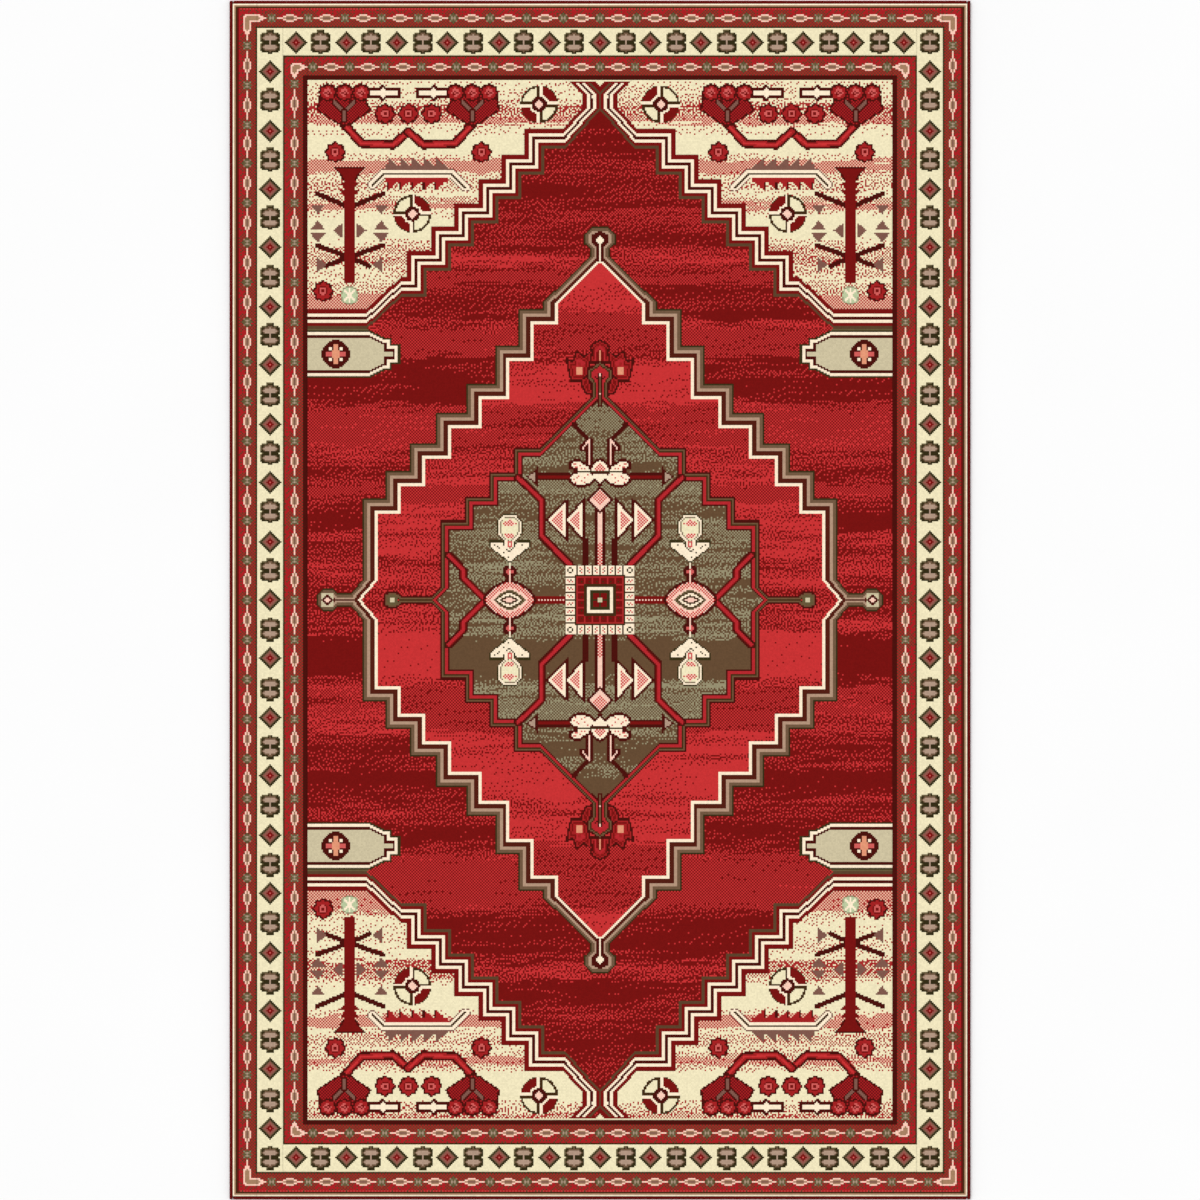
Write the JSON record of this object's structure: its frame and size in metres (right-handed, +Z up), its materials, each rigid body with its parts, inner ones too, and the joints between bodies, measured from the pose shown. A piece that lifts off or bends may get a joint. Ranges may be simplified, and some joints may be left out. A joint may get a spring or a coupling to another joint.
{
  "type": "area rug",
  "caption": "Rectangular machine-woven area rug with a stepped medallion, corner areas, three border bands and overcast edges, lying flat.",
  "frame": {"origin": "on the floor under the middle of the rug", "axes": "+X from side to side, +Y along the rug towards its head end, +Z up out of the pile"},
  "size_m": [1.5178, 2.4554, 0.0112],
  "materials": {
    "latex": "thin cream latex coat, matt",
    "ground_weave": "jute weft over cotton and polyester warp, matt",
    "edge_cord": "twisted cotton cord",
    "serging": "dark red overcast yarn",
    "pile_guard": "cut pile, dark red and brown yarns with small leaves",
    "pile_ivory": "cut pile, ivory ground yarn with coloured motifs",
    "pile_red": "cut pile, deep red yarns banded with darker and lighter reds",
    "pile_bright_red": "cut pile, brighter reds",
    "pile_olive": "cut pile, mixed olive and brown yarns",
    "pile_sage": "cut pile, grey-beige yarn"
  },
  "bodies": {
    "root": {"latex_backcoat": "latex", "ground_weave": "ground_weave", "edge_cord_left": "edge_cord", "edge_cord_right": "edge_cord", "edge_cord_head": "edge_cord", "edge_cord_foot": "edge_cord", "serging_left": "serging", "serging_right": "serging", "serging_head": "serging", "serging_foot": "serging", "pile_outer_guard_left": "pile_guard", "pile_outer_guard_right": "pile_guard", "pile_outer_guard_head": "pile_guard", "pile_outer_guard_foot": "pile_guard", "pile_main_border_left": "pile_ivory", "pile_main_border_right": "pile_ivory", "pile_main_border_head": "pile_ivory", "pile_main_border_foot": "pile_ivory", "pile_inner_guard_left": "pile_guard", "pile_inner_guard_right": "pile_guard", "pile_inner_guard_head": "pile_guard", "pile_inner_guard_foot": "pile_guard", "pile_spandrel_head_left": "pile_ivory", "pile_side_tab_head_left": "pile_sage", "pile_spandrel_head_right": "pile_ivory", "pile_side_tab_head_right": "pile_sage", "pile_spandrel_foot_left": "pile_ivory", "pile_side_tab_foot_left": "pile_sage", "pile_spandrel_foot_right": "pile_ivory", "pile_side_tab_foot_right": "pile_sage", "pile_red_field": "pile_red", "pile_medallion": "pile_bright_red", "pile_inner_medallion": "pile_olive", "pile_centre_square": "pile_ivory"}
  },
  "joints": []
}
